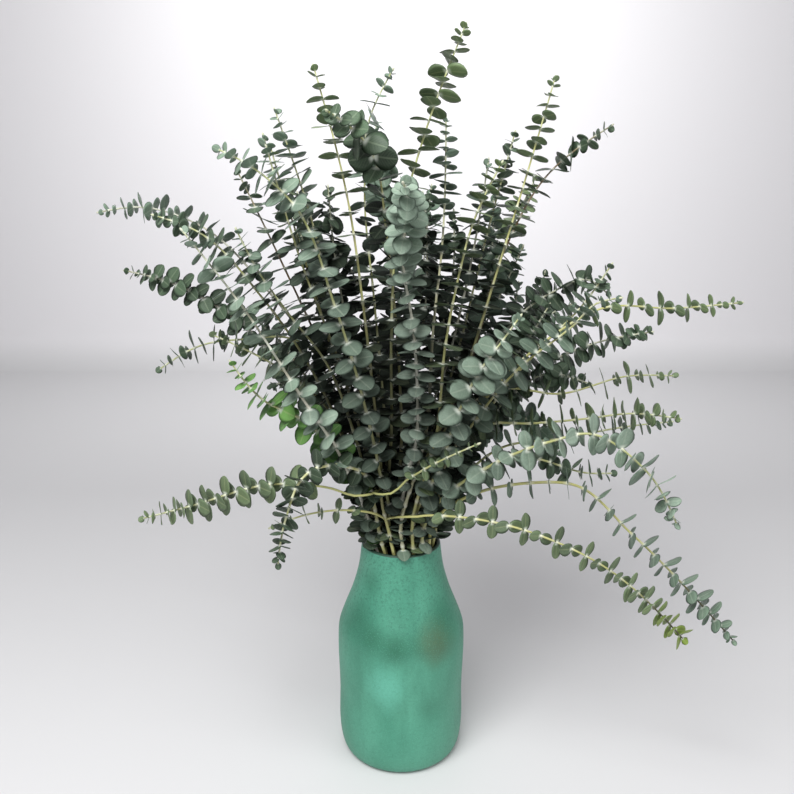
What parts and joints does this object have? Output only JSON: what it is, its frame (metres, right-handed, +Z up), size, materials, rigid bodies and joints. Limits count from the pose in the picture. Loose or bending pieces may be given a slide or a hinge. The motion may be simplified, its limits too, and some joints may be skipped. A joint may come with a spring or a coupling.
{
  "type": "eucalyptus branch",
  "caption": "Bunch of long eucalyptus stems with round blue-green leaves in opposite pairs, standing in water in a green bottle-shaped vase with a flat foot.",
  "frame": {"origin": "centre of the vase's flat foot, on the surface that it stands on", "axes": "+Z up along the vase's axis, -Y towards the viewer, +X to the viewer's right"},
  "size_m": [0.6715, 0.5157, 0.7865],
  "materials": {
    "vase_glaze": "satin",
    "water": "gloss",
    "leaf_blue": "matte",
    "leaf_dark": "matte",
    "leaf_olive": "matte",
    "leaf_young": "matte"
  },
  "bodies": {
    "root": {"vase": "vase_glaze", "water": "water", "stem_crown_1": "leaf_olive", "stem_crown_2": "leaf_olive", "stem_crown_3": "leaf_blue", "stem_crown_4": "leaf_dark", "stem_crown_5": "leaf_blue", "stem_crown_6": "leaf_blue", "stem_crown_7": "leaf_olive", "stem_crown_8": "leaf_blue", "stem_crown_9": "leaf_dark", "stem_crown_10": "leaf_olive", "stem_crown_11": "leaf_dark", "stem_crown_12": "leaf_blue", "stem_crown_13": "leaf_dark", "stem_crown_14": "leaf_dark", "stem_crown_15": "leaf_dark", "stem_crown_16": "leaf_dark", "stem_left_1": "leaf_blue", "stem_left_2": "leaf_dark", "stem_left_3": "leaf_blue", "stem_left_4": "leaf_blue", "stem_left_5": "leaf_blue", "stem_left_6": "leaf_dark", "stem_left_7": "leaf_blue", "stem_left_8": "leaf_dark", "stem_left_9": "leaf_dark", "stem_left_10": "leaf_young", "stem_left_11": "leaf_olive", "stem_left_12": "leaf_dark", "stem_left_13": "leaf_olive", "stem_left_14": "leaf_blue", "stem_right_1": "leaf_blue", "stem_right_2": "leaf_dark", "stem_right_3": "leaf_blue", "stem_right_4": "leaf_dark", "stem_right_5": "leaf_dark", "stem_right_6": "leaf_olive", "stem_right_7": "leaf_blue", "stem_right_8": "leaf_dark", "stem_right_9": "leaf_olive", "stem_right_10": "leaf_olive", "stem_right_11": "leaf_dark", "stem_right_12": "leaf_blue", "stem_right_13": "leaf_dark", "stem_right_14": "leaf_blue", "stem_right_15": "leaf_dark", "stem_right_16": "leaf_dark", "stem_back_1": "leaf_blue", "stem_back_2": "leaf_dark", "stem_back_3": "leaf_blue", "stem_back_4": "leaf_blue", "stem_back_5": "leaf_dark", "stem_back_6": "leaf_olive", "stem_back_7": "leaf_dark", "stem_back_8": "leaf_blue", "stem_back_9": "leaf_blue", "stem_back_10": "leaf_dark", "stem_back_11": "leaf_blue"}
  },
  "joints": []
}
